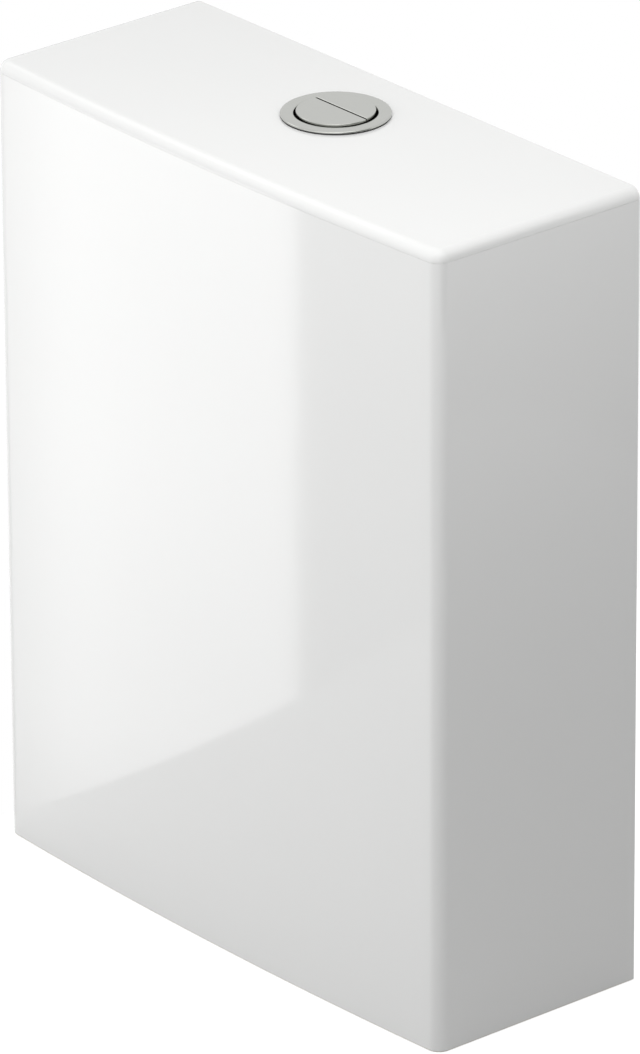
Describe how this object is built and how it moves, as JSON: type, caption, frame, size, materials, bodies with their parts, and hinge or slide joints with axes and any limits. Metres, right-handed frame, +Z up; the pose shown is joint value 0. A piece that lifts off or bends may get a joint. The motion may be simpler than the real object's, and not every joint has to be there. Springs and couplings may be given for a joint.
{
  "type": "toilet cistern",
  "caption": "Tall slim ceramic toilet cistern with a lift-off lid, a split dual-flush button, a flush valve, a fill valve and fixings hidden under its skirt.",
  "frame": {"origin": "middle of the footprint on the plane that the tank's rim stands on", "axes": "+Z up, +Y towards the flat back, +X to the right seen from the front"},
  "size_m": [0.4, 0.158, 0.5066],
  "materials": {
    "glaze": "smooth white glaze",
    "satin_metal": "satin",
    "black_rubber": "matt",
    "grey_foam": "open foam",
    "white_plastic": "moulded",
    "grey_plastic": "moulded",
    "blue_plastic": "moulded",
    "clear_silicone": "soft, milky",
    "stainless_steel": "drawn",
    "brass": "turned"
  },
  "bodies": {
    "root": {"tank": "glaze", "lid_pads": "clear_silicone", "flush_valve_base": "white_plastic", "base_seal_washer": "black_rubber", "back_nut": "white_plastic", "doughnut_gasket": "grey_foam", "valve_cage": "white_plastic", "height_rails": "white_plastic", "actuator_bridge": "white_plastic", "rocker_pin": "stainless_steel", "inlet_shank": "white_plastic", "shank_washer": "black_rubber", "shank_nut": "white_plastic", "inlet_filter": "blue_plastic", "riser_tube": "white_plastic", "riser_clamp": "grey_plastic", "silencer_tube": "white_plastic", "valve_head": "white_plastic", "diaphragm": "black_rubber", "head_cap": "grey_plastic", "lever_pin": "stainless_steel", "coupling_bolts": "brass", "bolt_seal_washers": "black_rubber", "bolt_upper_washers": "stainless_steel", "bolt_lower_seals": "black_rubber", "bolt_lower_washers": "stainless_steel", "wing_nuts": "brass", "blanking_plug": "white_plastic", "plug_washer": "black_rubber", "plug_nut": "white_plastic"},
    "lid": {"lid": "glaze", "bezel_gasket": "black_rubber", "button_bezel": "satin_metal", "lid_lock_nut": "white_plastic", "button_guide": "white_plastic", "full_button_spring": "stainless_steel", "half_button_spring": "stainless_steel"},
    "full_button": {"full_flush_button": "satin_metal", "full_push_rod": "white_plastic"},
    "half_button": {"half_flush_button": "satin_metal", "half_push_rod": "blue_plastic"},
    "full_rocker": {"full_rocker": "grey_plastic"},
    "half_rocker": {"half_rocker": "blue_plastic"},
    "full_yoke": {"full_lift_yoke": "grey_plastic"},
    "flush_tube": {"overflow_tube": "white_plastic", "valve_seal": "black_rubber", "seal_retainer": "grey_plastic", "full_float": "grey_plastic", "half_lift_yoke": "blue_plastic"},
    "half_float": {"half_float": "blue_plastic"},
    "fill_float": {"float_cup": "white_plastic", "link_rod": "grey_plastic"},
    "fill_lever": {"float_lever": "grey_plastic"}
  },
  "joints": [
    {"name": "lid_lift", "type": "slide", "parent": "root", "child": "lid", "axis": [0, 0, 1], "range_m": [0, 0.13]},
    {"name": "full_button_press", "type": "slide", "parent": "lid", "child": "full_button", "axis": [0, 0, -1], "range_m": [0, 0.005], "stiffness_N_per_m": 300, "springref_m": -0.004, "deforming": ["full_button_spring"]},
    {"name": "half_button_press", "type": "slide", "parent": "lid", "child": "half_button", "axis": [0, 0, -1], "range_m": [0, 0.005], "stiffness_N_per_m": 300, "springref_m": -0.004, "deforming": ["half_button_spring"]},
    {"name": "full_rocker_tilt", "type": "hinge", "parent": "root", "child": "full_rocker", "pos_m": [-0.007, 0.021, 0.388], "axis": [1, 0, 0], "range_deg": [0, 20.47]},
    {"name": "half_rocker_tilt", "type": "hinge", "parent": "root", "child": "half_rocker", "pos_m": [0.007, 0.021, 0.388], "axis": [-1, 0, 0], "range_deg": [0, 20.47]},
    {"name": "full_yoke_lift", "type": "slide", "parent": "root", "child": "full_yoke", "axis": [0, 0, 1], "range_m": [0, 0.0086]},
    {"name": "flush_tube_lift", "type": "slide", "parent": "full_yoke", "child": "flush_tube", "axis": [0, 0, 1], "range_m": [0, 0.0086]},
    {"name": "half_float_slide", "type": "slide", "parent": "root", "child": "half_float", "axis": [0, 0, 1], "range_m": [0, 0.025]},
    {"name": "fill_float_slide", "type": "slide", "parent": "root", "child": "fill_float", "axis": [0, 0, 1], "range_m": [0, 0.01]},
    {"name": "fill_lever_tilt", "type": "hinge", "parent": "root", "child": "fill_lever", "pos_m": [-0.14, 0.021, 0.372], "axis": [0, -1, 0], "range_deg": [0, 11.47]}
  ],
  "couplings": [
    {"joint": "full_rocker_tilt", "follows": "full_button_press", "rad_per_m": 71.429},
    {"joint": "full_yoke_lift", "follows": "full_button_press", "ratio": 1.7143},
    {"joint": "half_rocker_tilt", "follows": "half_button_press", "rad_per_m": 71.429},
    {"joint": "flush_tube_lift", "follows": "half_button_press", "ratio": 1.7143},
    {"joint": "fill_lever_tilt", "follows": "fill_float_slide", "rad_per_m": 20}
  ]
}
